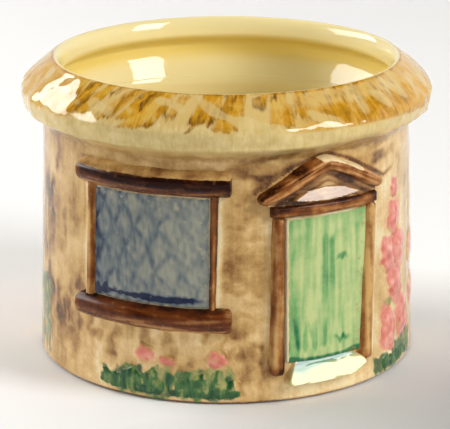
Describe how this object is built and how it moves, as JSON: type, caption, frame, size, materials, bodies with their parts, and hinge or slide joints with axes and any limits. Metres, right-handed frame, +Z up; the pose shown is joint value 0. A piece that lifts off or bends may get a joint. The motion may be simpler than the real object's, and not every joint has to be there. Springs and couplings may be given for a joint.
{
  "type": "sugar bowl",
  "caption": "Round cottage-shaped sugar bowl without a lid: rolled thatch rim over a wall with a moulded window, a gabled door, a flower bed and tall flowers in painted relief.",
  "frame": {"origin": "middle of the foot, on the surface that the bowl stands on", "axes": "+Z up along the turning axis; -Y towards the front, between the window and the door; +X to the right seen from the front"},
  "size_m": [0.092, 0.092, 0.0674],
  "materials": {
    "wall_glaze": "glossy, cream glaze with a brown wash",
    "thatch_glaze": "glossy, cream glaze with golden straw strokes",
    "timber_glaze": "glossy, brown painted",
    "pane_glaze": "glossy, blue-grey painted",
    "door_glaze": "glossy, green painted in upright strokes",
    "leaf_glaze": "glossy, green painted",
    "bloom_glaze": "glossy, pink painted"
  },
  "bodies": {
    "root": {"bowl_shell": "wall_glaze", "thatch_rim": "thatch_glaze", "front_window_lintel": "timber_glaze", "front_window_sill": "timber_glaze", "front_window_jamb_left": "timber_glaze", "front_window_jamb_right": "timber_glaze", "front_window_pane": "pane_glaze", "front_door_leaf": "door_glaze", "front_door_post_left": "timber_glaze", "front_door_post_right": "timber_glaze", "front_door_lintel": "timber_glaze", "front_door_step": "wall_glaze", "front_hood_rafter_left": "timber_glaze", "front_hood_rafter_right": "timber_glaze", "front_hood_tympanum": "wall_glaze", "front_bed_leaves_left": "leaf_glaze", "front_bed_leaves_right": "leaf_glaze", "front_bed_bloom_1": "bloom_glaze", "front_bed_bloom_2": "bloom_glaze", "front_bed_bloom_3": "bloom_glaze", "front_spray_leaves": "leaf_glaze", "front_spray_bloom_1": "bloom_glaze", "front_spray_bloom_2": "bloom_glaze", "front_spray_bloom_3": "bloom_glaze", "front_spray_bloom_4": "bloom_glaze", "front_spray_bloom_5": "bloom_glaze", "front_spray_bloom_6": "bloom_glaze", "front_spray_bloom_7": "bloom_glaze", "front_spray_bloom_8": "bloom_glaze", "front_spray_bloom_9": "bloom_glaze", "back_window_lintel": "timber_glaze", "back_window_sill": "timber_glaze", "back_window_jamb_left": "timber_glaze", "back_window_jamb_right": "timber_glaze", "back_window_pane": "pane_glaze", "back_door_leaf": "door_glaze", "back_door_post_left": "timber_glaze", "back_door_post_right": "timber_glaze", "back_door_lintel": "timber_glaze", "back_door_step": "wall_glaze", "back_hood_rafter_left": "timber_glaze", "back_hood_rafter_right": "timber_glaze", "back_hood_tympanum": "wall_glaze", "back_bed_leaves_left": "leaf_glaze", "back_bed_leaves_right": "leaf_glaze", "back_bed_bloom_1": "bloom_glaze", "back_bed_bloom_2": "bloom_glaze", "back_bed_bloom_3": "bloom_glaze", "back_spray_leaves": "leaf_glaze", "back_spray_bloom_1": "bloom_glaze", "back_spray_bloom_2": "bloom_glaze", "back_spray_bloom_3": "bloom_glaze", "back_spray_bloom_4": "bloom_glaze", "back_spray_bloom_5": "bloom_glaze", "back_spray_bloom_6": "bloom_glaze", "back_spray_bloom_7": "bloom_glaze", "back_spray_bloom_8": "bloom_glaze", "back_spray_bloom_9": "bloom_glaze"}
  },
  "joints": []
}
